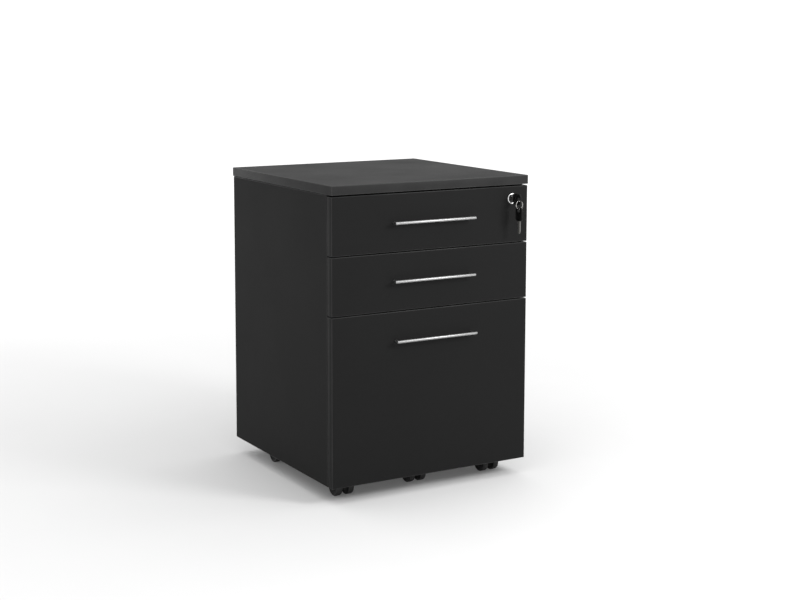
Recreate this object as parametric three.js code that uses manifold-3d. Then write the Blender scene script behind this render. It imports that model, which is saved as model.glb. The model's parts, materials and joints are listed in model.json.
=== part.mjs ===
// Rolling pedestal cabinet: a melamine case on twin-wheel castors with two box drawers,
// a file drawer carried by a fifth castor, and a gang lock that holds all three drawers.
// Millimetres, X to the right, Y to the back, Z up, floor at Z = 0.
// While it is built, Y = 0 is the front edge of the top panel; the last lines centre the whole.

import * as THREE from "three";
import { mergeVertices } from "three/addons/utils/BufferGeometryUtils.js";
import Module from "manifold-3d";

const wasm = await Module();
wasm.setup();

// ---------------------------------------------------------------- driving dimensions

const WIDTH = 470;
const TOP_DEPTH = 464;
const HEIGHT = 647;
const TOP_BOARD = 19;
const BOARD = 18;
const TOUCH = 0.3; // gap kept between two pieces that touch

const BODY_BOTTOM = 35.5; // lower edge of the sides, the back and the file drawer front
const TOP_FRONT_OVERHANG = 1.8;
const TOP_BACK_OVERHANG = 4.4;
const FRONT_INSET = 0.5; // each side of a drawer front, inside the side panel's outer face
const REVEAL_UNDER_TOP = 2.8;
const REVEAL = 1.8; // between two drawer fronts
const BOX_FRONT_HEIGHT = 118.7;
const FRONT_CLEARANCE = 0.6; // drawer front to carcass

const BASE_UNDERSIDE = 51.3;
const BASE_SETBACK = 5; // base panel's front edge behind the side panels' front edges
const NOTCH_WIDTH = 60;
const NOTCH_DEPTH = 98;

const SHEET = 1.5; // steel of the slides and of the drawer boxes
const SLIDE_SPACE = 12.5; // side panel to drawer box
const SLIDE_LENGTH = 400;
const SLIDE_FRONT = 30;
const BOX_LENGTH = 400;
const BALL_TRACK = 2.5; // between two nested slide members
const CABINET_MEMBER_DEPTH = 9.5;
const MIDDLE_MEMBER_DEPTH = 7.4;
const DRAWER_MEMBER_DEPTH = 7.5;
const DRAWER_MEMBER_HEIGHT = 29;

const DRAWERS = [
  { front: BOX_FRONT_HEIGHT, boxBottom: 513, boxTop: 582, slide: 540, handle: [-2.5, 58.6] },
  { front: BOX_FRONT_HEIGHT, boxBottom: 394, boxTop: 484, slide: 421, handle: [-2.5, 56.6] },
  { front: null, boxBottom: 76, boxTop: 300, slide: 150, handle: [2.5, 59.2], full: true },
]; // a handle's pair is its middle's offset in X and its drop below the front's top edge

const HANDLE_LENGTH = 191.5;
const HANDLE_RADIUS = 3;
const HANDLE_STANDOFF = 17; // drawer face to the bar's centre line
const POST_RADIUS = 2.2;
const POST_INSET = 5.75; // bar end to post centre

const LOCK_FROM_RIGHT = 41;
const LOCK_DROP = 25.9; // front's top edge to the lock's centre
const BEZEL_RADIUS = 11.6;
const BEZEL_RECESS = 2.2; // face of the plug behind the bezel's rim
const BEZEL_PROUD = 4;
const BARREL_RADIUS = 9.5;
const BARREL_END = 30.5;
const PLUG_RADIUS = 6;
const CRANK_RADIUS = 8.5;
const CRANK_THROW = 6;
const CRANK_PIN_RADIUS = 2;
const KEYWAY_DEPTH = 24;

const KEY_HEAD_LENGTH = 28;
const KEY_HEAD_HEIGHT = 22;
const KEY_HEAD_THICKNESS = 5.5;
const KEY_BLADE_LENGTH = 27;
const KEY_BLADE_HEIGHT = 8;
const KEY_BLADE_THICKNESS = 2;
const KEY_HOLE_RADIUS = 4.5;
const KEY_HOLE_WALL = 1.4;
const KEY_FRONT = -32.5; // outer end of the key in the lock
const RING_RADIUS = 8.2;
const RING_WIRE_RADIUS = 0.7;

const GROOVE_DEPTH = 7;
const BAR_FRONT = 26.5;
const BAR_WIDTH = 20;
const BAR_THICKNESS = 6.3;
const BAR_BOTTOM = 160;
const CATCH_HEIGHT = 12;
const CATCH_BELOW_PIN = 1.5; // free height between a catch and its lock pin
const LOCK_PIN_RADIUS = 3;
const LOCK_PIN_LENGTH = 9;
const LOCK_PIN_Y = 50;

const RAIL_WIDTH = 6;
const RAIL_HEIGHT = 10;

const WHEEL_RADIUS = 20;
const WHEEL_WIDTH = 13;
const WHEEL_PITCH = 26.5; // centre to centre of the twin wheels
const WHEEL_SIDES = 20;
const CASTOR_TRAIL = 14; // stem to axle
const HOOD_RADIUS = 22.5;
const HOOD_WALL = 1.6;
const STEM_RADIUS = 3.5;
const AXLE_RADIUS = 2.5;
const CASTOR_PLATE = 38;
const CASTOR_PLATE_THICKNESS = 2.3;
const CASTOR_X = 179;
const CASTOR_FRONT_Y = 80;
const CASTOR_REAR_Y = 360;
const FIFTH_CASTOR_Y = 89;
const BRACKET_WIDTH = 50;
const BRACKET_SHEET = 2.5;
const BRACKET_TOP = 74;

// ---------------------------------------------------------------- worked-out places

const HALF_WIDTH = WIDTH / 2;
const SIDE_INNER = HALF_WIDTH - BOARD;
const UNDER_TOP = HEIGHT - TOP_BOARD;
const FACE_Y = TOP_FRONT_OVERHANG;
const FRONT_BACK_Y = FACE_Y + BOARD;
const CARCASS_FRONT = FRONT_BACK_Y + FRONT_CLEARANCE;
const CARCASS_BACK = TOP_DEPTH - TOP_BACK_OVERHANG;
const BACK_INNER = CARCASS_BACK - BOARD;
const BASE_FRONT = CARCASS_FRONT + BASE_SETBACK;
const BOX_OUTER = SIDE_INNER - TOUCH - SLIDE_SPACE;
const BOX_FRONT = FRONT_BACK_Y + TOUCH;
const LOCK_X = HALF_WIDTH - LOCK_FROM_RIGHT;
const LOCK_Z = UNDER_TOP - REVEAL_UNDER_TOP - LOCK_DROP;

// ---------------------------------------------------------------- materials

function finish(color, roughness, metalness) {
  return new THREE.MeshStandardMaterial({ color, roughness, metalness });
}

const MELAMINE = finish(0x2b2b2c, 0.55, 0);
const SATIN_CHROME = finish(0xc4c4c4, 0.3, 1);
const CHROME = finish(0xdcdcdc, 0.12, 1);
const ZINC_STEEL = finish(0xa4a6a8, 0.4, 1);
const PAINTED_STEEL = finish(0x232324, 0.5, 0);
const CASTOR_PLASTIC = finish(0x101010, 0.5, 0);
const TYRE = finish(0x161616, 0.65, 0);
const KEY_PLASTIC = finish(0x141414, 0.4, 0);

// ---------------------------------------------------------------- geometry helpers

function box(x, y, z) {
  const geometry = new THREE.BoxGeometry(x[1] - x[0], y[1] - y[0], z[1] - z[0]);
  return geometry.translate((x[0] + x[1]) / 2, (y[0] + y[1]) / 2, (z[0] + z[1]) / 2);
}

// A rod along "x", "y" or "z" from one end to the other, through the given centre.
function rod(axis, radius, [from, to], centre, sides = 16) {
  const geometry = new THREE.CylinderGeometry(radius, radius, to - from, sides);
  geometry.translate(0, (from + to) / 2, 0);
  return turnTo(axis, geometry).translate(...centre);
}

// Turns a shape whose axis is Y so that its axis is the named one.
function turnTo(axis, geometry) {
  if (axis === "x") geometry.rotateZ(-Math.PI / 2);
  if (axis === "z") geometry.rotateX(Math.PI / 2);
  return geometry;
}

// A turned piece; each profile point is [radius, distance along the axis].
function turned(axis, profile, centre, sides, phase = 0) {
  const points = profile.map(([radius, along]) => new THREE.Vector2(radius, along));
  const geometry = new THREE.LatheGeometry(points, sides, phase);
  return turnTo(axis, geometry).translate(...centre);
}

function outline(points) {
  return new THREE.Shape(points.map(([u, v]) => new THREE.Vector2(u, v)));
}

// Extrudes a shape drawn in X and Z along Y.
function alongY(shape, [from, to]) {
  const geometry = new THREE.ExtrudeGeometry(shape, { depth: to - from, bevelEnabled: false });
  return geometry.rotateX(Math.PI / 2).translate(0, to, 0);
}

// Extrudes a shape drawn in Y and Z along X, with the given smoothness of its round stretches.
function alongX(shape, [from, to], curveSegments = 6) {
  const settings = { depth: to - from, bevelEnabled: false, curveSegments };
  const geometry = new THREE.ExtrudeGeometry(shape, settings);
  const turn = new THREE.Matrix4().makeBasis(
    new THREE.Vector3(0, 1, 0),
    new THREE.Vector3(0, 0, 1),
    new THREE.Vector3(1, 0, 0),
  );
  return geometry.applyMatrix4(turn).translate(from, 0, 0);
}

function solidOf(geometry) {
  const bare = geometry.clone();
  bare.deleteAttribute("normal");
  bare.deleteAttribute("uv");
  const merged = mergeVertices(bare, 1e-4);
  const vertProperties = new Float32Array(merged.attributes.position.array);
  const triVerts = new Uint32Array(merged.index.array);
  return new wasm.Manifold(new wasm.Mesh({ numProp: 3, vertProperties, triVerts }));
}

function geometryOf(solid) {
  const { vertProperties, triVerts } = solid.getMesh();
  const geometry = new THREE.BufferGeometry();
  geometry.setAttribute("position", new THREE.BufferAttribute(vertProperties, 3));
  geometry.setIndex(new THREE.BufferAttribute(triVerts, 1));
  return geometry;
}

function join(first, ...others) {
  return geometryOf(others.reduce((whole, other) => whole.add(solidOf(other)), solidOf(first)));
}

function cut(first, ...tools) {
  return geometryOf(tools.reduce((left, tool) => left.subtract(solidOf(tool)), solidOf(first)));
}

const pedestal = new THREE.Group();

function piece(name, geometry, material, parent = pedestal) {
  const mesh = new THREE.Mesh(geometry, material);
  mesh.name = name;
  parent.add(mesh);
}

// ---------------------------------------------------------------- case

function addCase() {
  const height = [BODY_BOTTOM, UNDER_TOP - TOUCH];
  const depth = [CARCASS_FRONT, CARCASS_BACK];
  const between = [-SIDE_INNER + TOUCH, SIDE_INNER - TOUCH];

  piece("top_panel", box([-HALF_WIDTH, HALF_WIDTH], [0, TOP_DEPTH], [UNDER_TOP, HEIGHT]), MELAMINE);
  piece("side_panel_left", box([-HALF_WIDTH, -SIDE_INNER], depth, height), MELAMINE);

  // The lock bar runs in a groove behind the right side panel's front edge.
  const groove = box(
    [SIDE_INNER - 1, SIDE_INNER + GROOVE_DEPTH],
    [BAR_FRONT - 0.5, BAR_FRONT + BAR_WIDTH + 0.5],
    [BAR_BOTTOM - 5, UNDER_TOP + 1],
  );
  piece("side_panel_right", cut(box([SIDE_INNER, HALF_WIDTH], depth, height), groove), MELAMINE);
  piece("back_panel", box(between, [BACK_INNER, CARCASS_BACK], height), MELAMINE);

  // The notch in the base lets the file drawer's castor bracket pass.
  const base = box(
    between,
    [BASE_FRONT, BACK_INNER - TOUCH],
    [BASE_UNDERSIDE, BASE_UNDERSIDE + BOARD],
  );
  const notch = box(
    [-NOTCH_WIDTH / 2, NOTCH_WIDTH / 2],
    [BASE_FRONT - 1, BASE_FRONT + NOTCH_DEPTH],
    [BASE_UNDERSIDE - 1, BASE_UNDERSIDE + BOARD + 1],
  );
  piece("base_panel", cut(base, notch), MELAMINE);
}

// ---------------------------------------------------------------- drawers

// A folded steel channel; it opens towards the case's middle, or away from it when turned.
function channel(side, webX, depth, height, opensOut) {
  const out = opensOut ? side : -side;
  const half = height / 2;
  const tip = webX * side + out * depth;
  const inner = webX * side + out * SHEET;
  const web = webX * side;
  return outline([
    [web, -half],
    [tip, -half],
    [tip, -half + SHEET],
    [inner, -half + SHEET],
    [inner, half - SHEET],
    [tip, half - SHEET],
    [tip, half],
    [web, half],
  ]);
}

function addSlide(number, drawer, side) {
  const name = `slide_${number}_${side < 0 ? "left" : "right"}`;
  const lift = (shape, along) => alongY(shape, along).translate(0, 0, drawer.slide);
  const middleHeight = DRAWER_MEMBER_HEIGHT + 2 * (BALL_TRACK + SHEET);
  const nested = drawer.full ? middleHeight : DRAWER_MEMBER_HEIGHT;
  const cabinetHeight = nested + 2 * (BALL_TRACK + SHEET);
  const wall = SIDE_INNER - TOUCH;

  const cabinet = channel(side, wall, CABINET_MEMBER_DEPTH, cabinetHeight, false);
  const fixedSpan = [SLIDE_FRONT, SLIDE_FRONT + SLIDE_LENGTH];
  piece(`${name}_cabinet`, lift(cabinet, fixedSpan), ZINC_STEEL);
  if (drawer.full) {
    const web = wall - SHEET - 1.3;
    const middle = channel(side, web, MIDDLE_MEMBER_DEPTH, middleHeight, false);
    piece(`${name}_middle`, lift(middle, [SLIDE_FRONT - 1, SLIDE_FRONT + SLIDE_LENGTH - 2]), ZINC_STEEL);
  }
  const moving = channel(side, BOX_OUTER + TOUCH, DRAWER_MEMBER_DEPTH, DRAWER_MEMBER_HEIGHT, true);
  const movingSpan = [BOX_FRONT + 4, BOX_FRONT + SLIDE_LENGTH - 4];
  piece(`${name}_drawer`, lift(moving, movingSpan), ZINC_STEEL);
}

function addDrawerBox(number, drawer) {
  const outer = box(
    [-BOX_OUTER, BOX_OUTER],
    [BOX_FRONT, BOX_FRONT + BOX_LENGTH],
    [drawer.boxBottom, drawer.boxTop],
  );
  const inside = box(
    [-BOX_OUTER + SHEET, BOX_OUTER - SHEET],
    [BOX_FRONT + SHEET, BOX_FRONT + BOX_LENGTH - SHEET],
    [drawer.boxBottom + SHEET, drawer.boxTop + 1],
  );
  piece(`drawer_${number}_box`, cut(outer, inside), PAINTED_STEEL);
}

function addHandle(number, x, z) {
  const barY = FACE_Y - HANDLE_STANDOFF;
  const half = HANDLE_LENGTH / 2;
  const bar = rod("x", HANDLE_RADIUS, [-half, half], [x, barY, z], 20);
  const posts = [-1, 1].map((side) =>
    rod("y", POST_RADIUS, [barY, FACE_Y - TOUCH], [x + side * (half - POST_INSET), 0, z], 12),
  );
  piece(`handle_${number}`, join(bar, ...posts), SATIN_CHROME);
}

// The pin's height leaves its catch clear above the slide and clear below the pin.
function lockPinHeight(drawer) {
  const members = drawer.full ? 2 : 1;
  const slideHalf = DRAWER_MEMBER_HEIGHT / 2 + members * (BALL_TRACK + SHEET);
  return drawer.slide + slideHalf + 1 + CATCH_HEIGHT + CATCH_BELOW_PIN + LOCK_PIN_RADIUS;
}

function addDrawers() {
  let top = UNDER_TOP - REVEAL_UNDER_TOP;
  DRAWERS.forEach((drawer, index) => {
    const number = index + 1;
    const bottom = drawer.front ? top - drawer.front : BODY_BOTTOM;
    const half = HALF_WIDTH - FRONT_INSET;
    let front = box([-half, half], [FACE_Y, FRONT_BACK_Y], [bottom, top]);
    if (number === 1) {
      const hole = rod("y", BARREL_RADIUS + TOUCH, [-1, FRONT_BACK_Y + 1], [LOCK_X, 0, LOCK_Z], 28);
      front = cut(front, hole);
    }
    piece(`drawer_${number}_front`, front, MELAMINE);
    addDrawerBox(number, drawer);
    addSlide(number, drawer, -1);
    addSlide(number, drawer, 1);
    const [handleX, handleDrop] = drawer.handle;
    addHandle(number, handleX, top - handleDrop);
    const pinFrom = BOX_OUTER + TOUCH;
    const pin = rod("x", LOCK_PIN_RADIUS, [pinFrom, pinFrom + LOCK_PIN_LENGTH], [
      0,
      LOCK_PIN_Y,
      lockPinHeight(drawer),
    ]);
    piece(`drawer_${number}_lock_pin`, pin, ZINC_STEEL);
    top = bottom - REVEAL;
  });
}

// Plastic rails clipped over the file drawer's sides carry the hanging files.
function addFileRails() {
  const { boxTop } = DRAWERS[2];
  const top = boxTop + 2;
  const wall = BOX_OUTER - SHEET / 2;
  for (const side of [-1, 1]) {
    const centre = side * wall;
    const slot = SHEET / 2 + TOUCH;
    const profile = outline([
      [centre - RAIL_WIDTH / 2, top - RAIL_HEIGHT],
      [centre - slot, top - RAIL_HEIGHT],
      [centre - slot, boxTop + TOUCH],
      [centre + slot, boxTop + TOUCH],
      [centre + slot, top - RAIL_HEIGHT],
      [centre + RAIL_WIDTH / 2, top - RAIL_HEIGHT],
      [centre + RAIL_WIDTH / 2, top],
      [centre - RAIL_WIDTH / 2, top],
    ]);
    const span = [BOX_FRONT + 4, BOX_FRONT + BOX_LENGTH - 4];
    piece(`file_rail_${side < 0 ? "left" : "right"}`, alongY(profile, span), KEY_PLASTIC);
  }
}

// ---------------------------------------------------------------- lock and keys

function addLock() {
  const bezelFront = FACE_Y - BEZEL_PROUD;
  const bezelBack = FACE_Y - TOUCH;
  const bore = PLUG_RADIUS + TOUCH;
  const centre = [LOCK_X, 0, LOCK_Z];

  const plugFront = bezelFront + BEZEL_RECESS;
  const housing = [
    [bore, plugFront],
    [BEZEL_RADIUS - 3, plugFront],
    [BEZEL_RADIUS - 2.2, bezelFront],
    [BEZEL_RADIUS - 1, bezelFront],
    [BEZEL_RADIUS, bezelFront + 1.2],
    [BEZEL_RADIUS, bezelBack],
    [BARREL_RADIUS, bezelBack],
    [BARREL_RADIUS, BARREL_END],
    [bore, BARREL_END],
    [bore, plugFront],
  ];
  piece("lock_housing", turned("y", housing, centre, 24), CHROME);

  const crankFront = BARREL_END + TOUCH;
  const crankBack = crankFront + 3.2;
  const plugProfile = [
    [0, plugFront],
    [PLUG_RADIUS, plugFront],
    [PLUG_RADIUS, crankFront],
    [CRANK_RADIUS, crankFront],
    [CRANK_RADIUS, crankBack],
    [0, crankBack],
  ];
  const pinSpan = [crankFront + 1, crankBack + 6];
  const pin = rod("y", CRANK_PIN_RADIUS, pinSpan, [LOCK_X, 0, LOCK_Z - CRANK_THROW], 12);
  const slotHalf = [KEY_BLADE_THICKNESS / 2 + TOUCH, KEY_BLADE_HEIGHT / 2 + TOUCH];
  const keyway = box(
    [LOCK_X - slotHalf[0], LOCK_X + slotHalf[0]],
    [plugFront - 1, plugFront + KEYWAY_DEPTH + TOUCH],
    [LOCK_Z - slotHalf[1], LOCK_Z + slotHalf[1]],
  );
  const plug = cut(join(turned("y", plugProfile, centre, 20), pin), keyway);
  piece("lock_plug", plug, CHROME);
}

// A key lying in Y and Z: its head starts at Y = 0 and its tip points to +Y.
function keyGeometry(bladeLength) {
  const half = KEY_HEAD_HEIGHT / 2;
  const round = 5;
  const head = new THREE.Shape();
  head.moveTo(round, -half);
  head.lineTo(KEY_HEAD_LENGTH - round, -half);
  head.absarc(KEY_HEAD_LENGTH - round, -half + round, round, -Math.PI / 2, 0);
  head.absarc(KEY_HEAD_LENGTH - round, half - round, round, 0, Math.PI / 2);
  head.absarc(round, half - round, round, Math.PI / 2, Math.PI);
  head.absarc(round, -half + round, round, Math.PI, (Math.PI * 3) / 2);
  const hole = new THREE.Path();
  hole.absarc(KEY_HOLE_WALL + KEY_HOLE_RADIUS, 0, KEY_HOLE_RADIUS, 0, Math.PI * 2, true);
  head.holes.push(hole);

  const bladeHalf = KEY_BLADE_HEIGHT / 2;
  const tip = KEY_HEAD_LENGTH + bladeLength;
  const blade = outline([
    [KEY_HEAD_LENGTH - round, -bladeHalf],
    [tip - bladeHalf, -bladeHalf],
    [tip, -bladeHalf / 4],
    [tip, bladeHalf / 4],
    [tip - bladeHalf, bladeHalf],
    [KEY_HEAD_LENGTH - round, bladeHalf],
  ]);
  const across = (thickness) => [-thickness / 2, thickness / 2];
  return join(
    alongX(head, across(KEY_HEAD_THICKNESS), 6),
    alongX(blade, across(KEY_BLADE_THICKNESS)),
  );
}

function addKeys() {
  const holeFromEnd = KEY_HOLE_WALL + KEY_HOLE_RADIUS;
  const keyInset = KEY_FRONT + KEY_HEAD_LENGTH;
  const bladeInLock = FACE_Y - BEZEL_PROUD + KEYWAY_DEPTH - keyInset;
  piece("key", keyGeometry(bladeInLock).translate(LOCK_X, KEY_FRONT, LOCK_Z), KEY_PLASTIC);

  // The ring hangs on the lower edge of the key's hole, and the spare key on the ring.
  const ringY = KEY_FRONT + holeFromEnd;
  const wireSag = RING_RADIUS - Math.sqrt(RING_RADIUS ** 2 - (KEY_HEAD_THICKNESS / 2) ** 2);
  const wireDrop = KEY_HOLE_RADIUS - RING_WIRE_RADIUS - TOUCH - wireSag;
  const ringZ = LOCK_Z - wireDrop - RING_RADIUS;
  const ring = new THREE.TorusGeometry(RING_RADIUS, RING_WIRE_RADIUS, 6, 20);
  piece("key_ring", ring.rotateX(Math.PI / 2).translate(LOCK_X, ringY, ringZ), ZINC_STEEL);

  const spareTop = ringZ - RING_RADIUS - wireDrop + holeFromEnd;
  const spare = keyGeometry(KEY_BLADE_LENGTH).rotateX(-Math.PI / 2);
  piece("spare_key", spare.translate(LOCK_X, ringY, spareTop), KEY_PLASTIC);
}

// One pressed steel bar: a driver tab over the crank pin and a catch below each lock pin.
function addLockBar() {
  const barX = [SIDE_INNER + 0.2, SIDE_INNER + 0.2 + BAR_THICKNESS];
  const pinRestZ = LOCK_Z - CRANK_THROW;
  const slotHalfHeight = 3.6; // the crank pin and its path's departure from a straight line
  const slotHalfWidth = CRANK_THROW + CRANK_PIN_RADIUS + 0.5;
  const tabHalfHeight = slotHalfHeight + 2.5;
  const tabY = [35.5, 38.5];
  const bar = box(barX, [BAR_FRONT, BAR_FRONT + BAR_WIDTH], [BAR_BOTTOM, pinRestZ + tabHalfHeight]);
  const tab = box(
    [LOCK_X - slotHalfWidth - 2.5, barX[0] + 1],
    tabY,
    [pinRestZ - tabHalfHeight, pinRestZ + tabHalfHeight],
  );
  const slot = box(
    [LOCK_X - slotHalfWidth, LOCK_X + slotHalfWidth],
    [tabY[0] - 1, tabY[1] + 1],
    [pinRestZ - slotHalfHeight, pinRestZ + slotHalfHeight],
  );
  const catches = DRAWERS.map((drawer) => {
    const top = lockPinHeight(drawer) - LOCK_PIN_RADIUS - CATCH_BELOW_PIN;
    return box([BOX_OUTER + 2.3, barX[0] + 1], [34, 42], [top - CATCH_HEIGHT, top]);
  });
  piece("lock_bar", join(bar, cut(tab, slot), ...catches), ZINC_STEEL);
}

// ---------------------------------------------------------------- castors

// A wheel's profile about the axle, from the blind bore round the tread to the hub cap.
function wheelGeometry(side) {
  const inner = (WHEEL_PITCH - WHEEL_WIDTH) / 2;
  const outer = inner + WHEEL_WIDTH;
  const rim = WHEEL_RADIUS / Math.cos(Math.PI / WHEEL_SIDES); // flats lie on the floor
  const profile = [
    [0, outer - 1.5],
    [AXLE_RADIUS + TOUCH, outer - 1.5],
    [AXLE_RADIUS + TOUCH, inner],
    [rim - 0.8, inner],
    [rim, inner + 0.8],
    [rim, outer - 0.8],
    [rim - 0.8, outer],
    [0, outer],
  ];
  const phase = Math.PI / WHEEL_SIDES;
  const geometry = turned("x", profile, [0, 0, 0], WHEEL_SIDES, phase);
  return side < 0 ? geometry.rotateZ(Math.PI) : geometry;
}

// The hood carries the stem and the axle; its web stands between the twin wheels.
function hoodGeometry() {
  const from = -Math.PI / 9;
  const to = (Math.PI * 13) / 16;
  const half = WHEEL_PITCH / 2 + WHEEL_WIDTH / 2;
  const shell = new THREE.Shape();
  shell.absarc(0, 0, HOOD_RADIUS, from, to, false);
  shell.absarc(0, 0, HOOD_RADIUS - HOOD_WALL, to, from, true);
  const web = new THREE.Shape();
  web.absarc(0, 0, HOOD_RADIUS - HOOD_WALL / 2, from, to, false);
  web.lineTo(-STEM_RADIUS, -STEM_RADIUS * 2);
  web.lineTo(STEM_RADIUS, -STEM_RADIUS * 2);
  const webHalf = (WHEEL_PITCH - WHEEL_WIDTH) / 2 - 0.5;
  const shellTurned = alongX(shell, [-half, half], 8);
  const webTurned = alongX(web, [-webHalf, webHalf], 8);
  const axleHalf = half - 2;
  const axle = rod("x", AXLE_RADIUS, [-axleHalf, axleHalf], [0, 0, 0], 12);
  const stemTop = BASE_UNDERSIDE - 2 - WHEEL_RADIUS;
  const stem = rod("z", STEM_RADIUS, [0, stemTop], [0, CASTOR_TRAIL, 0], 12);
  return join(webTurned, shellTurned, axle, stem);
}

function castorPlateGeometry() {
  const top = BASE_UNDERSIDE - TOUCH;
  const half = CASTOR_PLATE / 2;
  const plate = box([-half, half], [-half, half], [top - CASTOR_PLATE_THICKNESS, top]);
  const bossBottom = WHEEL_RADIUS + HOOD_RADIUS + 2;
  const boss = rod("z", 10, [bossBottom, top - 1], [0, 0, 0], 16);
  const bore = rod("z", STEM_RADIUS + TOUCH, [bossBottom - 1, top - 1], [0, 0, 0], 12);
  const screwHoles = [-1, 1].flatMap((sx) =>
    [-1, 1].map((sy) => rod("z", 2.2, [top - 4, top + 1], [sx * (half - 5), sy * (half - 5), 0], 8)),
  );
  return cut(join(plate, boss), bore, ...screwHoles);
}

function addCastor(name, x, y) {
  const mount = new THREE.Group();
  mount.position.set(x, y, 0);
  pedestal.add(mount);
  piece(`${name}_plate`, castorPlateGeometry(), ZINC_STEEL, mount);

  const wheels = new THREE.Group();
  wheels.position.set(0, -CASTOR_TRAIL, WHEEL_RADIUS);
  mount.add(wheels);
  piece(`${name}_hood`, hoodGeometry(), CASTOR_PLASTIC, wheels);
  piece(`${name}_wheel_left`, wheelGeometry(-1), TYRE, wheels);
  piece(`${name}_wheel_right`, wheelGeometry(1), TYRE, wheels);
}

function addCastors() {
  addCastor("castor_front_left", -CASTOR_X, CASTOR_FRONT_Y);
  addCastor("castor_front_right", CASTOR_X, CASTOR_FRONT_Y);
  addCastor("castor_rear_left", -CASTOR_X, CASTOR_REAR_Y);
  addCastor("castor_rear_right", CASTOR_X, CASTOR_REAR_Y);
  addCastor("castor_fifth", 0, FIFTH_CASTOR_Y);

  // An angle bracket on the file drawer's front carries the fifth castor.
  const half = BRACKET_WIDTH / 2;
  const foot = FIFTH_CASTOR_Y + CASTOR_PLATE / 2 + 3;
  const leg = box([-half, half], [BOX_FRONT, BOX_FRONT + BRACKET_SHEET], [BASE_UNDERSIDE, BRACKET_TOP]);
  const shelf = box([-half, half], [BOX_FRONT, foot], [BASE_UNDERSIDE, BASE_UNDERSIDE + BRACKET_SHEET]);
  piece("fifth_castor_bracket", join(leg, shelf), ZINC_STEEL);
}

// ---------------------------------------------------------------- assembly

addCase();
addDrawers();
addFileRails();
addLock();
addKeys();
addLockBar();
addCastors();

// The spare key's head is what stands furthest forward.
const SPARE_KEY_FRONT = KEY_FRONT + KEY_HOLE_WALL + KEY_HOLE_RADIUS - KEY_HEAD_HEIGHT / 2;
pedestal.position.y = -(SPARE_KEY_FRONT + TOP_DEPTH) / 2;

export default pedestal;
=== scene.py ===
"""Looks of the rolling pedestal cabinet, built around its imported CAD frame. Metres, +Z up."""

import json
import math

import bmesh
import bpy
from mathutils import Matrix, Vector


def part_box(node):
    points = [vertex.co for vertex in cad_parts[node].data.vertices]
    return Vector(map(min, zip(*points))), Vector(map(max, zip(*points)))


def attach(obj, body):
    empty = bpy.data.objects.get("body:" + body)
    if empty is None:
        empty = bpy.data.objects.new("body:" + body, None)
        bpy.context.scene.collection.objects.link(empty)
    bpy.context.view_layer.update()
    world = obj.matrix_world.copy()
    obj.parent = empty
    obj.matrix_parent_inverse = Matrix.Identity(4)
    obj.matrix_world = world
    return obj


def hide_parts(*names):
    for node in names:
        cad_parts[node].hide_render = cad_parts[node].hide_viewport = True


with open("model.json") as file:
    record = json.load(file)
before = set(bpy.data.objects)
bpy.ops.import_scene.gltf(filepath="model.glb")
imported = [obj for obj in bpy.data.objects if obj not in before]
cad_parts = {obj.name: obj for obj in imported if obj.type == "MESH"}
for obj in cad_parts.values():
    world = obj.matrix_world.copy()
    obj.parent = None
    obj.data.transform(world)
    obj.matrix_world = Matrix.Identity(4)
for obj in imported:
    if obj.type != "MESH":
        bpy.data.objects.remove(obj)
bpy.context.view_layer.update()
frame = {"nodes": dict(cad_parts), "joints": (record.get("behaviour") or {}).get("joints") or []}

MM = 0.001
X, Y, Z = Vector((1, 0, 0)), Vector((0, 1, 0)), Vector((0, 0, 1))
SIDES = (-1, 1)
CASTORS = (
    "castor_front_left",
    "castor_front_right",
    "castor_rear_left",
    "castor_rear_right",
    "castor_fifth",
)
ANCHORS = {joint["name"]: Vector(joint["pos_m"]) for joint in frame["joints"] if "pos_m" in joint}

EDGE_RADIUS = 1.5 * MM  # rounding of the boards' edges
BAND_RIM = 0.6 * MM  # edge band seen from the board's face, past the rounding
SEAM = 0.12 * MM  # width of the fine line between a board's face and its band
SHEET = 1.2 * MM  # steel of the slides
PAINTED_SHEET = 1.2 * MM  # steel of the drawer boxes, with its paint
LOCK_HOLE = 9.8 * MM  # radius of the hole in the upper drawer's front
SCREW_HOLE = 2.6 * MM  # radius of the holes in the slides


# ---------------------------------------------------------------- procedural materials


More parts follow.
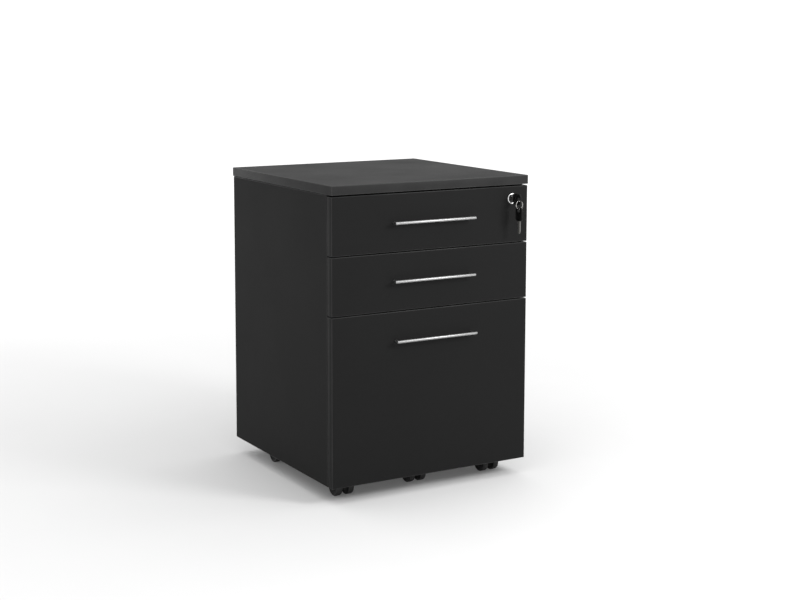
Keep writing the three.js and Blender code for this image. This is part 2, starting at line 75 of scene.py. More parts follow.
class Finish:
    """A node material that is built up one layer at a time."""

    def __init__(self, name, metallic=0.0, specular=0.5):
        self.material = bpy.data.materials.new(name)
        self.material.use_nodes = True
        self.tree = self.material.node_tree
        self.tree.nodes.clear()
        self.shader = self.node("ShaderNodeBsdfPrincipled")
        self.shader.inputs["Metallic"].default_value = metallic
        self.shader.inputs["Specular IOR Level"].default_value = specular
        output = self.node("ShaderNodeOutputMaterial")
        self.link(self.shader.outputs["BSDF"], output.inputs["Surface"])
        self.coordinates = self.node("ShaderNodeTexCoord").outputs["Object"]

    def node(self, kind, **settings):
        made = self.tree.nodes.new(kind)
        for name, value in settings.items():
            setattr(made, name, value)
        return made

    def link(self, source, target):
        self.tree.links.new(source, target)

    def noise(self, scale, detail=3.0, stretch=(1, 1, 1)):
        """Noise from 0 to 1; scale is grains per metre, less along a stretched axis."""
        mapping = self.node("ShaderNodeMapping")
        mapping.inputs["Scale"].default_value = [1 / factor for factor in stretch]
        self.link(self.coordinates, mapping.inputs["Vector"])
        noise = self.node("ShaderNodeTexNoise")
        noise.inputs["Scale"].default_value = scale
        noise.inputs["Detail"].default_value = detail
        self.link(mapping.outputs["Vector"], noise.inputs["Vector"])
        return noise.outputs["Fac"]

    def spread(self, value, low, high, start=0.3, end=0.7):
        """Takes the part of a value from start to end to the numbers from low to high."""
        span = self.node("ShaderNodeMapRange")
        for name, number in zip(("From Min", "From Max", "To Min", "To Max"), (start, end, low, high)):
            span.inputs[name].default_value = number
        self.link(value, span.inputs["Value"])
        return span.outputs["Result"]

    def mix(self, factor, first, second):
        """A colour between two; each is a colour or an earlier mix."""
        mix = self.node("ShaderNodeMix", data_type="RGBA")
        self.link(factor, mix.inputs["Factor"])
        for socket, colour in ((mix.inputs[6], first), (mix.inputs[7], second)):
            if isinstance(colour, tuple):
                socket.default_value = (*colour, 1)
            else:
                self.link(colour, socket)
        return mix.outputs[2]

    def colour(self, value):
        self.link(value, self.shader.inputs["Base Color"])

    def roughness(self, value):
        self.link(value, self.shader.inputs["Roughness"])

    def bump(self, *layers):
        """Raises the surface by each (value, height in metres), one on top of another."""
        normal = None
        for value, height in layers:
            bump = self.node("ShaderNodeBump")
            bump.inputs["Strength"].default_value = 1
            bump.inputs["Distance"].default_value = height
            self.link(value, bump.inputs["Height"])
            if normal:
                self.link(normal, bump.inputs["Normal"])
            normal = bump.outputs["Normal"]
        self.link(normal, self.shader.inputs["Normal"])


def grey(value):
    return (value, value, value)


def melamine_finish():
    """Fine pearl-textured black melamine: a pressed grain under a soft sheen."""
    made = Finish("melamine_black", specular=0.022)
    grain = made.noise(1500, detail=2)
    cloud = made.noise(5, detail=4)
    base = made.mix(made.spread(grain, 0, 1), grey(0.0108), grey(0.0154))
    made.colour(made.mix(made.spread(cloud, 0, 0.25), base, grey(0.0154)))
    made.roughness(made.spread(cloud, 0.38, 0.46))
    made.bump((grain, 0.012 * MM), (made.noise(420, detail=2), 0.012 * MM))
    return made.material


def edge_band_finish(name, dark, light, rough):
    """Black edge band: smoother than the faces, with faint lines along its length."""
    made = Finish(name, specular=0.05)
    drawn = made.noise(900, detail=2, stretch=(12, 12, 1))
    cloud = made.noise(14, detail=3)
    made.colour(made.mix(made.spread(cloud, 0, 1), grey(dark), grey(light)))
    made.roughness(made.spread(drawn, rough - 0.05, rough + 0.05))
    made.bump((drawn, 0.004 * MM))
    return made.material


def satin_chrome_finish():
    """Handle steel, drawn along its length so that highlights run round the bar."""
    made = Finish("satin_chrome", metallic=1)
    drawn = made.noise(2600, detail=3, stretch=(40, 1, 1))
    cloud = made.noise(30, detail=3)
    made.colour(made.mix(made.spread(drawn, 0, 1), grey(0.32), grey(0.4)))
    made.roughness(made.spread(cloud, 0.4, 0.48))
    made.bump((drawn, 0.004 * MM))
    return made.material


def chrome_finish():
    made = Finish("polished_chrome", metallic=1)
    smudge = made.noise(90, detail=5)
    made.colour(made.mix(made.spread(smudge, 0, 1), grey(0.8), grey(0.9)))
    made.roughness(made.spread(smudge, 0.05, 0.16))
    made.bump((made.noise(2500, detail=2), 0.0008 * MM))
    return made.material


def nickel_finish():
    """The split ring: bright nickel with fine rubbed scratches."""
    made = Finish("bright_nickel", metallic=1)
    scratches = made.noise(1800, detail=4, stretch=(1, 1, 14))
    made.colour(made.mix(made.spread(scratches, 0, 1), (0.6, 0.59, 0.57), (0.78, 0.77, 0.74)))
    made.roughness(made.spread(scratches, 0.16, 0.34))
    made.bump((scratches, 0.006 * MM))
    return made.material


def key_steel_finish():
    """The keys' cut blades: dull nickel silver, milled along their length."""
    made = Finish("key_steel", metallic=1)
    milled = made.noise(2200, detail=3, stretch=(1, 1, 10))
    made.colour(made.mix(made.spread(milled, 0, 1), (0.17, 0.167, 0.16), (0.24, 0.236, 0.226)))
    made.roughness(made.spread(milled, 0.58, 0.74))
    made.bump((milled, 0.008 * MM))
    return made.material


def plug_finish():
    """The lock plug: nickel with turning marks, painted dark as the shade inside the lock's recess;
    the bezel's recess takes it too.
    """
    made = Finish("plug_nickel_painted_shade", metallic=1)
    marks = made.noise(1500, detail=3)
    made.colour(made.mix(made.spread(marks, 0, 1), grey(0.05), grey(0.09)))
    made.roughness(made.spread(marks, 0.3, 0.45))
    made.bump((marks, 0.004 * MM))
    return made.material


def zinc_finish():
    """Bright zinc plate with a cloudy, faintly spangled surface."""
    made = Finish("zinc_steel", metallic=1)
    spangle = made.node("ShaderNodeTexVoronoi", feature="F1")
    spangle.inputs["Scale"].default_value = 220
    made.link(made.coordinates, spangle.inputs["Vector"])
    cloud = made.noise(45, detail=5)
    base = made.mix(made.spread(cloud, 0, 1), (0.4, 0.41, 0.43), (0.56, 0.57, 0.58))
    flecks = made.spread(spangle.outputs["Distance"], 0, 0.3, 0, 0.8)
    made.colour(made.mix(flecks, base, (0.66, 0.66, 0.64)))
    made.roughness(made.spread(cloud, 0.28, 0.44))
    made.bump((made.noise(900, detail=3), 0.006 * MM))
    return made.material


def powder_coat_finish():
    """Black powder coat on the drawer boxes, with its orange-peel skin."""
    made = Finish("powder_coat_black", specular=0.45)
    peel = made.noise(650, detail=1)
    cloud = made.noise(12, detail=4)
    made.colour(made.mix(made.spread(cloud, 0, 1), grey(0.014), grey(0.024)))
    made.roughness(made.spread(peel, 0.34, 0.46))
    made.bump((peel, 0.03 * MM), (made.noise(2400, detail=2), 0.006 * MM))
    return made.material


def moulded_finish(name, dark, light, rough, texture, specular=0.3):
    """Black moulded plastic with a spark-eroded skin of the given grains per metre."""
    made = Finish(name, specular=specular)
    skin = made.noise(texture, detail=2)
    cloud = made.noise(40, detail=4)
    made.colour(made.mix(made.spread(cloud, 0, 1), grey(dark), grey(light)))
    made.roughness(made.spread(skin, rough - 0.06, rough + 0.06))
    made.bump((skin, 0.012 * MM))
    return made.material


def tread_finish():
    """The wheels' running surface: matt, scuffed round its width, with a little dust."""
    made = Finish("castor_tread", specular=0.35)
    scuffs = made.noise(700, detail=4, stretch=(0.4, 6, 6))
    dust = made.noise(120, detail=6)
    base = made.mix(made.spread(scuffs, 0, 1), grey(0.01), grey(0.02))
    made.colour(made.mix(made.spread(dust, 0, 0.35, 0.5, 0.75), base, (0.07, 0.068, 0.064)))
    made.roughness(made.spread(scuffs, 0.55, 0.72))
    made.bump((scuffs, 0.02 * MM))
    return made.material


MELAMINE = melamine_finish()
# The band on a board's edge, and the same band on its rounded corners, painted paler there as a
# highlight.
EDGE_BAND = (
    edge_band_finish("edge_band_black", 0.0085, 0.012, 0.38),
    edge_band_finish("edge_band_painted_highlight", 0.026, 0.034, 0.3),
)
# The top panel's band is painted lighter than the other boards' band: painted light on the top's
# edges.
TOP_BAND_PAINTED_LIGHT = (
    edge_band_finish("top_band_painted_light", 0.022, 0.028, 0.36),
    edge_band_finish("top_band_painted_highlight", 0.036, 0.046, 0.3),
)
SATIN_CHROME = satin_chrome_finish()
CHROME = chrome_finish()
NICKEL = nickel_finish()
KEY_STEEL = key_steel_finish()
RECESS_SHADE_NICKEL = plug_finish()
ZINC = zinc_finish()
POWDER_COAT = powder_coat_finish()
CASTOR_PLASTIC = moulded_finish("castor_plastic", 0.005, 0.009, 0.42, 1400)
KEY_PLASTIC = moulded_finish("key_plastic", 0.004, 0.007, 0.42, 1800, specular=0.1)
RAIL_PLASTIC = moulded_finish("rail_plastic", 0.012, 0.018, 0.42, 1200)
TREAD = tread_finish()


# ---------------------------------------------------------------- mesh helpers


def add_piece(name, bm, materials, body, nodes=(), sharp=32):
    """Turns a bmesh into a smooth-shaded piece that rides on a body and stands for CAD nodes."""
    bmesh.ops.recalc_face_normals(bm, faces=bm.faces)
    mesh = bpy.data.meshes.new(name)
    bm.to_mesh(mesh)
    bm.free()
    for material in materials:
        mesh.materials.append(material)
    mesh.shade_smooth()
    mesh.set_sharp_from_angle(angle=math.radians(sharp))
    piece = bpy.data.objects.new(name, mesh)
    bpy.context.scene.collection.objects.link(piece)
    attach(piece, body)
    if nodes:
        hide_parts(*nodes)
    return piece


def soften(piece, width, segments=2):
    """Rounds a piece's hard edges."""
    bevel = piece.modifiers.new("soften", "BEVEL")
    bevel.width = width
    bevel.segments = segments
    bevel.limit_method = "ANGLE"
    bevel.angle_limit = math.radians(35)
    bevel.harden_normals = True


def carve(piece, cutter_bm):
    """Cuts a closed shape out of a piece."""
    cutter_mesh = bpy.data.meshes.new("cutter")
    bmesh.ops.recalc_face_normals(cutter_bm, faces=cutter_bm.faces)
    cutter_bm.to_mesh(cutter_mesh)
    cutter_bm.free()
    cutter = bpy.data.objects.new("cutter", cutter_mesh)
    bpy.context.scene.collection.objects.link(cutter)
    boolean = piece.modifiers.new("carve", "BOOLEAN")
    boolean.operation = "DIFFERENCE"
    boolean.solver = "EXACT"
    boolean.object = cutter
    graph = bpy.context.evaluated_depsgraph_get()
    carved = bpy.data.meshes.new_from_object(piece.evaluated_get(graph))
    piece.modifiers.remove(boolean)
    piece.data = carved
    bpy.data.objects.remove(cutter)


def block(bm, low, high):
    """Adds a plain box between two corners and returns its vertices."""
    made = bmesh.ops.create_cube(bm, size=1)["verts"]
    size = Vector(high) - Vector(low)
    middle = (Vector(high) + Vector(low)) / 2
    for vertex in made:
        vertex.co = Vector(a * b for a, b in zip(vertex.co, size)) + middle
    return made


def frame_of(axis):
    """Two directions across an axis, so that the three make a right-handed set."""
    if axis == X:
        return Y, Z
    if axis == Y:
        return Z, X
    return X, Y


def lathe(bm, profile, axis, centre, segments=48, closed=False, start=0.0, sweep=2 * math.pi):
    """Adds a turned body. A profile point is (radius, distance along the axis), or has a
    function of the angle as its radius. A closed profile is a loop; a sweep of less than a
    full turn is capped at its ends."""
    across, up = frame_of(axis)
    whole = sweep >= 2 * math.pi - 1e-6
    steps = segments if whole else segments + 1
    rings = []
    for radius, along in profile:
        foot = centre + axis * along
        if not callable(radius) and radius < 1e-7:
            rings.append([bm.verts.new(foot)])
            continue
        ring = []
        for step in range(steps):
            angle = start + sweep * step / segments
            reach = radius(angle) if callable(radius) else radius
            spoke = across * math.cos(angle) + up * math.sin(angle)
            ring.append(bm.verts.new(foot + spoke * reach))
        rings.append(ring)
    following = rings[1:] + rings[:1] if closed else rings[1:]
    faces = []
    for ring, after in zip(rings, following):
        for step in range(segments):
            beyond = (step + 1) % steps
            corners = [
                ring[step % len(ring)],
                ring[beyond % len(ring)],
                after[beyond % len(after)],
                after[step % len(after)],
            ]
            corners = list(dict.fromkeys(corners))
            if len(corners) > 2:
                faces.append(bm.faces.new(corners))
    if not whole:
        for end in (0, -1):
            bm.faces.new([ring[end] for ring in rings])
    return faces


def prism(bm, outline, axis, start, end):
    """Adds an outline, drawn across the axis, extruded from start to end along it."""
    across, up = frame_of(axis)
    ends = [
        [bm.verts.new(across * u + up * v + axis * along) for u, v in outline]
        for along in (start, end)
    ]
    count = len(outline)
    for index in range(count):
        after = (index + 1) % count
        bm.faces.new([ends[0][index], ends[0][after], ends[1][after], ends[1][index]])
    caps = [bm.faces.new(ring) for ring in ends]
    return caps


def rounded_line(points, radius, steps=4):
    """An open line of points with its inner corners rounded."""
    line = [Vector(points[0])]
    for before, corner, after in zip(points, points[1:], points[2:]):
        before, corner, after = Vector(before), Vector(corner), Vector(after)
        into, out = (corner - before).normalized(), (after - corner).normalized()
        turn = into.angle(out)
        back = radius * math.tan(turn / 2)
        first, last = corner - into * back, corner + out * back
        for step in range(steps + 1):
            t = step / steps
            line.append(first.lerp(corner, t).lerp(corner.lerp(last, t), t))
    line.append(Vector(points[-1]))
    return line


def thickened(line, thickness):
    """The closed outline of a sheet whose middle follows a line."""
    left, right = [], []
    for index, point in enumerate(line):
        into = (point - line[max(index - 1, 0)]).normalized()
        out = (line[min(index + 1, len(line) - 1)] - point).normalized()
        along = (into + out).normalized()
        normal = Vector((-along.y, along.x)) * (thickness / 2)
        left.append(point + normal)
        right.append(point - normal)
    return left + right[::-1]


def tube(bm, points, radius, sides=12):
    """Adds a round wire along points, closed at both ends."""
    rings = []
    normal = None
    for index, point in enumerate(points):
        along = (points[min(index + 1, len(points) - 1)] - points[max(index - 1, 0)]).normalized()
        if normal is None:
            normal = along.orthogonal().normalized()
        normal = (normal - along * normal.dot(along)).normalized()
        side = along.cross(normal)
        rings.append(
            [
                bm.verts.new(
                    point
                    + normal * math.cos(2 * math.pi * k / sides) * radius
                    + side * math.sin(2 * math.pi * k / sides) * radius
                )
                for k in range(sides)
            ]
        )
    for ring, after in zip(rings, rings[1:]):
        for k in range(sides):
            beyond = (k + 1) % sides
            bm.faces.new([ring[k], ring[beyond], after[beyond], after[k]])
    bm.faces.new(rings[0])
    bm.faces.new(rings[-1][::-1])


def round_outline(centre, radius, count=24):
    turns = (2 * math.pi * k / count for k in range(count))
    return [(centre[0] + radius * math.cos(a), centre[1] + radius * math.sin(a)) for a in turns]


def round_rectangle(width, height, radius, steps=5):
    """Corner points of a rounded rectangle about the origin."""
    points = []
    corners = ((1, -1, -90), (1, 1, 0), (-1, 1, 90), (-1, -1, 180))
    for sx, sy, turn in corners:
        for step in range(steps + 1):
            angle = math.radians(turn + 90 * step / steps)
            points.append(
                (
                    sx * (width / 2 - radius) + radius * math.cos(angle),
                    sy * (height / 2 - radius) + radius * math.sin(angle),
                )
            )
    return points


def plate(outlines, thickness, edge, place):
    """A bmesh of a flat plate with rounded edges; outlines after the first are holes.
    It is drawn in X and Y about Z = 0, and then placed by a matrix."""
    curve = bpy.data.curves.new("plate", "CURVE")
    curve.dimensions = "2D"
    curve.fill_mode = "BOTH"
    curve.extrude = thickness / 2 - edge
    curve.bevel_depth = edge
    curve.bevel_resolution = 2
    curve.offset = -edge
    for outline in outlines:
        spline = curve.splines.new("POLY")
        spline.points.add(len(outline) - 1)
        for point, (u, v) in zip(spline.points, outline):
            point.co = (u, v, 0, 1)
        spline.use_cyclic_u = True
    holder = bpy.data.objects.new("plate", curve)
    bpy.context.scene.collection.objects.link(holder)
    graph = bpy.context.evaluated_depsgraph_get()
    mesh = bpy.data.meshes.new_from_object(holder.evaluated_get(graph))
    mesh.transform(place)
    bm = bmesh.new()
    bm.from_mesh(mesh)
    bmesh.ops.remove_doubles(bm, verts=bm.verts, dist=1e-6)
    bpy.data.objects.remove(holder)
    bpy.data.curves.remove(curve)
    bpy.data.meshes.remove(mesh)
    return bm


def merge(bm, other):
    """Adds another bmesh's faces to the first."""
    mesh = bpy.data.meshes.new("part")
    other.to_mesh(mesh)
    other.free()
    bm.from_mesh(mesh)
    bpy.data.meshes.remove(mesh)


def add_screw(name, centre, axis, body, radius=3.4 * MM):
    """A pan-head screw with a cross recess, its head standing out along the axis."""

    def cross(angle):
        return radius * (0.2 + 0.36 * abs(math.cos(2 * angle)) ** 3)

    profile = [
        (radius * 0.98, 0),
        (radius, 0.35 * MM),
        (radius * 0.93, 1.0 * MM),
        (radius * 0.75, 1.55 * MM),
        (cross, 1.85 * MM),
        (lambda angle: cross(angle) * 0.6, 0.7 * MM),
        (0, 0.6 * MM),
    ]
    bm = bmesh.new()
    direction = -1 if axis.x + axis.y + axis.z < 0 else 1
    positive = axis * direction
    lathe(bm, [(r, a * direction) for r, a in [(0, 0), *profile]], positive, centre, segments=32)
    return add_piece(name, bm, [ZINC], body, sharp=40)


# ---------------------------------------------------------------- case and fronts


def add_board(name, body, outline, axis, span, band=EDGE_BAND):
    """A melamine board: edge-banded all round, with the band's fine seam line, and with its
    edges rounded and painted a little paler there, a painted highlight."""
    bm = bmesh.new()
    prism(bm, outline, axis, *span)
    bmesh.ops.recalc_face_normals(bm, faces=bm.faces)
    settings = {"offset": EDGE_RADIUS, "segments": 3, "profile": 0.5, "affect": "EDGES"}
    bmesh.ops.bevel(bm, geom=bm.edges[:], **settings)
    bm.normal_update()
    broad = [face for face in bm.faces if abs(face.normal.dot(axis)) > 0.9999]
    # Flat band faces take the plain band; the rounded ones take the paler band, a painted highlight.
    for face in bm.faces:
        flat = max(abs(part) for part in face.normal) > 0.99
        face.material_index = 1 if flat else 2
    for thickness, depth in ((BAND_RIM, 0), (SEAM / 2, -SEAM / 2), (SEAM / 2, SEAM / 2)):
        bmesh.ops.inset_individual(bm, faces=broad, thickness=thickness, depth=depth)
    for face in broad:
        face.material_index = 0
    return add_piece(name, bm, [MELAMINE, *band], body, [name])


def rectangle(low, high, axis):
    across, up = frame_of(axis)
    u, v = (low.dot(across), high.dot(across)), (low.dot(up), high.dot(up))
    return [(u[0], v[0]), (u[1], v[0]), (u[1], v[1]), (u[0], v[1])]


def add_plain_board(node, body, axis, band=EDGE_BAND):
    low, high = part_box(node)
    span = (low.dot(axis), high.dot(axis))
    return add_board(node, body, rectangle(low, high, axis), axis, span, band)


def add_case():
    add_plain_board("top_panel", "cabinet", Z, TOP_BAND_PAINTED_LIGHT)
    add_plain_board("side_panel_left", "cabinet", X)
    right = add_plain_board("side_panel_right", "cabinet", X)
    add_plain_board("back_panel", "cabinet", Y)

    # The lock bar's groove, open at the panel's top.
    bar_low, bar_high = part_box("lock_bar")
    side_low, side_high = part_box("side_panel_right")
    spare = 0.5 * MM  # the groove's clearance round the bar
    groove = bmesh.new()
    block(
        groove,
        (side_low.x - MM, bar_low.y - spare, bar_low.z - 5 * MM),
        (bar_high.x + spare, bar_high.y + spare, side_high.z + MM),
    )
    carve(right, groove)

    # The base, with its notch for the fifth castor's bracket.
    low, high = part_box("base_panel")
    bracket_low, bracket_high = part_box("fifth_castor_bracket")
    half = bracket_high.x + 5 * MM
    deep = bracket_high.y + 7.8 * MM
    outline = [
        (low.x, low.y),
        (-half, low.y),
        (-half, deep),
        (half, deep),
        (half, low.y),
        (high.x, low.y),
        (high.x, high.y),
        (low.x, high.y),
    ]
    add_board("base_panel", "cabinet", outline, Z, (low.z, high.z))


def add_fronts():
    for number in (1, 2, 3):
        front = add_plain_board(f"drawer_{number}_front", f"drawer_{number}", Y)
        if number == 1:
            low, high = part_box("drawer_1_front")
            centre = ANCHORS["lock_turn"]
            hole = bmesh.new()
            start, end = low.y - MM, high.y + MM
            profile = [(0, start), (LOCK_HOLE, start), (LOCK_HOLE, end), (0, end)]
            lathe(hole, profile, Y, Vector((centre.x, 0, centre.z)), segments=64)
            carve(front, hole)


# ---------------------------------------------------------------- handles


POST_RADIUS = 2.2 * MM
POST_INSET = 5.75 * MM  # a bar's end to its post's middle


def add_handle(number):
    """A drawn bar with turned ends on two slim posts."""
    node = f"handle_{number}"
    low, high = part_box(node)
    radius = (high.z - low.z) / 2
    middle = Vector(((low.x + high.x) / 2, low.y + radius, (low.z + high.z) / 2))
    half = (high.x - low.x) / 2
    chamfer = 0.5 * MM
    shoulder = chamfer * 0.3
    bm = bmesh.new()
    bar = [
        (0, -half),
        (radius - chamfer, -half),
        (radius - shoulder, -half + shoulder),
        (radius, -half + chamfer),
        (radius, half - chamfer),
        (radius - shoulder, half - shoulder),
        (radius - chamfer, half),
        (0, half),
    ]
    lathe(bm, bar, X, middle, segments=64)
    _, front_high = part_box(f"drawer_{number}_front")
    above_box = middle.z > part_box(f"drawer_{number}_box")[1].z
    for side, word in zip(SIDES, ("left", "right")):
        foot = Vector((middle.x + side * (half - POST_INSET), 0, middle.z))
        inside_bar = middle.y + radius * 0.5
        post = [
            (0, inside_bar),
            (POST_RADIUS, inside_bar),
            (POST_RADIUS, high.y - 0.3 * MM),
            (POST_RADIUS - 0.3 * MM, high.y),
            (0, high.y),
        ]
        lathe(bm, post, Y, foot, segments=32)
        if above_box:  # its screw shows behind the drawer's front
            head = Vector((foot.x, front_high.y, foot.z))
            add_screw(f"handle_{number}_screw_{word}", head, Y, f"drawer_{number}", 3.8 * MM)
    add_piece(node, bm, [SATIN_CHROME], f"drawer_{number}", [node])


# ---------------------------------------------------------------- drawer boxes and slides


def add_drawer_box(number):
    """A folded steel box: trough with hemmed sides, and hemmed front and back walls."""
    node = f"drawer_{number}_box"
    low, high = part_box(node)
    half_sheet = PAINTED_SHEET / 2
    left, right = low.x + half_sheet, high.x - half_sheet
    bottom, top = low.z + half_sheet, high.z - half_sheet
    hem, fold = 2.6 * MM, 6 * MM  # the top edge's turned-in width and its depth
    bend = 1.1 * MM
    floor = bottom + SHEET * 1.2  # the end walls' feet stand on the trough

    bm = bmesh.new()
    # In the set across Y, the first number is Z and the second is X.
    trough = [
        (top - fold, left + hem),
        (top, left + hem),
        (top, left),
        (bottom, left),
        (bottom, right),
        (top, right),
        (top, right - hem),
        (top - fold, right - hem),
    ]
    profile = thickened(rounded_line(trough, bend), PAINTED_SHEET)
    prism(bm, [tuple(p) for p in profile], Y, low.y, high.y)
    for wall, inward in ((low.y + half_sheet, 1), (high.y - half_sheet, -1)):
        line = [
            (wall + inward * hem, top - fold),
            (wall + inward * hem, top),
            (wall, top),
            (wall, floor),
            (wall + inward * 9 * MM, floor),
        ]
        profile = thickened(rounded_line(line, bend), PAINTED_SHEET)
        inset = hem + half_sheet + 0.2 * MM
        prism(bm, [tuple(p) for p in profile], X, left + inset, right - inset)
    add_piece(node, bm, [POWDER_COAT], f"drawer_{number}", [node])


def add_channel(node, body, web_side, lip):
    """A rolled slide member: web, two races and their lips, from the CAD member's box."""
    low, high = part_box(node)
    half_sheet = SHEET / 2
    web = high.x - half_sheet if web_side > 0 else low.x + half_sheet
    open_edge = low.x + half_sheet if web_side > 0 else high.x - half_sheet
    bottom, top = low.z + half_sheet, high.z - half_sheet
    line = [
        (bottom + lip, open_edge),
        (bottom, open_edge),
        (bottom, web),
        (top, web),
        (top, open_edge),
        (top - lip, open_edge),
    ]
    profile = thickened(rounded_line(line, 1.2 * MM), SHEET)
    bm = bmesh.new()
    prism(bm, [tuple(p) for p in profile], Y, low.y, high.y)
    piece = add_piece(node, bm, [ZINC], body, [node])
    for share in (0.12, 0.5, 0.88):  # the screw holes' places along the member
        hole = bmesh.new()
        centre = Vector((0, low.y + (high.y - low.y) * share, (low.z + high.z) / 2))
        start, end = web - 3 * MM, web + 3 * MM
        profile = [(0, start), (SCREW_HOLE, start), (SCREW_HOLE, end), (0, end)]
        lathe(hole, profile, X, centre, segments=24)
        carve(piece, hole)


def add_slides():
    for number in (1, 2, 3):
        for side, word in zip(SIDES, ("left", "right")):
            name = f"slide_{number}_{word}"
            add_channel(f"{name}_cabinet", "cabinet", side, 1.9 * MM)
            if number == 3:
                add_channel(f"{name}_middle", f"{name}_middle", side, 1.9 * MM)
            add_channel(f"{name}_drawer", f"drawer_{number}", -side, 1.2 * MM)


def add_file_rail(word):
    """A moulded rail clipped over the file drawer's side."""
    node = f"file_rail_{word}"
    low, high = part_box(node)
    middle = (low.x + high.x) / 2
    slot = 1.05 * MM  # half the width of the slot that grips the side
    roof = high.z - 1.7 * MM
    corner = 1.2 * MM
    outline = [
        (low.z, low.x),
        (high.z - corner, low.x),
        (high.z, low.x + corner),
        (high.z, high.x - corner),
        (high.z - corner, high.x),
        (low.z, high.x),
        (low.z, middle + slot),
        (roof, middle + slot),
        (roof, middle - slot),
        (low.z, middle - slot),
    ]
    bm = bmesh.new()
    prism(bm, outline, Y, low.y, high.y)
    piece = add_piece(node, bm, [RAIL_PLASTIC], "drawer_3", [node])
    soften(piece, 0.25 * MM)


# ---------------------------------------------------------------- lock and keys


BARREL_RADIUS = 9.5 * MM
BORE_RADIUS = 6.4 * MM  # of the housing, round the plug
NUT_BORE = 9.7 * MM
PLUG_RADIUS = 6 * MM
CRANK_RADIUS = 8.5 * MM
CRANK_PIN_RADIUS = 2 * MM


def add_lock_housing(centre):
    """The chrome bezel with its raised rim and recess, and the barrel behind it; the recess is painted
    dark nickel, a painted shade.
    """
    low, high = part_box("lock_housing")
    outer = (high.x - low.x) / 2
    face = low.y
    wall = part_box("drawer_1_front")[0].y
    recess = 8.2 * MM  # radius of the rim's inner foot
    ledge = face + 2.4 * MM
    rim_radius = (outer - recess) / 2
    rim = [
        (
            recess + rim_radius * (1 - math.cos(turn)),
            face + rim_radius * 1.2 * (1 - math.sin(turn)),
        )
        for turn in (math.pi * step / 12 for step in range(13))
    ]
    housing = [
        (BORE_RADIUS, ledge),
        (recess - 0.3 * MM, ledge),
        *rim,
        (outer, wall - 0.3 * MM),
        (BARREL_RADIUS, wall - 0.3 * MM),
        (BARREL_RADIUS, high.y),
        (BORE_RADIUS, high.y),
    ]
    bm = bmesh.new()
    lathe(bm, housing, Y, centre, segments=96, closed=True)
    # The faces inside the rim take the darkened nickel: painted shade in the recess.
    for part in bm.faces:
        spot = part.calc_center_median() - centre
        spot.y = 0
        part.material_index = 1 if spot.length < recess + 0.4 * MM else 0
    finishes = [CHROME, RECESS_SHADE_NICKEL]
    add_piece("lock_housing", bm, finishes, "drawer_1", ["lock_housing"], sharp=50)


def add_lock_nut(centre):
    """The hexagonal retaining nut behind the drawer's front."""
    across_flats = 25 * MM

    def hexagon(angle):
        sector = math.pi / 3
        return across_flats / 2 / math.cos((angle % sector) - sector / 2)

    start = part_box("drawer_1_front")[1].y
    end = start + 2.6 * MM
    nut = [(NUT_BORE, start), (hexagon, start), (hexagon, end), (NUT_BORE, end)]
    bm = bmesh.new()
    lathe(bm, nut, Y, centre, segments=96, closed=True)
    add_piece("lock_nut", bm, [ZINC], "drawer_1")


def add_lock_plug(centre):
    """The plug with its keyway, and the crank disc and crank pin at its inner end."""
    low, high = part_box("lock_plug")
    crank = high.y - 9.2 * MM
    crank_end = crank + 3.2 * MM
    edge = 0.2 * MM
    plug = [
        (0, low.y + 0.5 * MM),
        (PLUG_RADIUS - 0.7 * MM, low.y + 0.5 * MM),
        (PLUG_RADIUS - 0.1 * MM, low.y + 0.9 * MM),
        (PLUG_RADIUS, low.y + 1.3 * MM),
        (PLUG_RADIUS, crank),
        (CRANK_RADIUS - edge, crank),
        (CRANK_RADIUS, crank + edge),
        (CRANK_RADIUS, crank_end - edge),
        (CRANK_RADIUS - edge, crank_end),
        (0, crank_end),
    ]
    bm = bmesh.new()
    lathe(bm, plug, Y, centre, segments=64)
    throw = 6 * MM
    pin = [
        (0, crank + 2 * MM),
        (CRANK_PIN_RADIUS, crank + 2 * MM),
        (CRANK_PIN_RADIUS, high.y - 0.4 * MM),
        (CRANK_PIN_RADIUS - 0.4 * MM, high.y),
        (0, high.y),
    ]
    lathe(bm, pin, Y, centre - Z * throw, segments=32)
    piece = add_piece("lock_plug", bm, [RECESS_SHADE_NICKEL], "lock_plug", ["lock_plug"], sharp=40)
    half_width, half_height = 1.3 * MM, 4.3 * MM
    keyway = bmesh.new()
    block(
        keyway,
        (centre.x - half_width, low.y - MM, centre.z - half_height),
        (centre.x + half_width, low.y + 24.3 * MM, centre.z + half_height),
    )
    carve(piece, keyway)


def add_lock():
    centre = ANCHORS["lock_turn"]
    centre = Vector((centre.x, 0, centre.z))
    add_lock_housing(centre)
    add_lock_nut(centre)
    add_lock_plug(centre)


HEAD = Vector((28, 22, 5.5)) * MM  # key head: length, height, thickness
HOLE_RADIUS = 4.4 * MM
HOLE_FROM_END = 5.9 * MM
BITTING = (1.1 * MM, 2.0 * MM, 0.7 * MM, 1.6 * MM)  # depths of the blade's cuts, from its tip


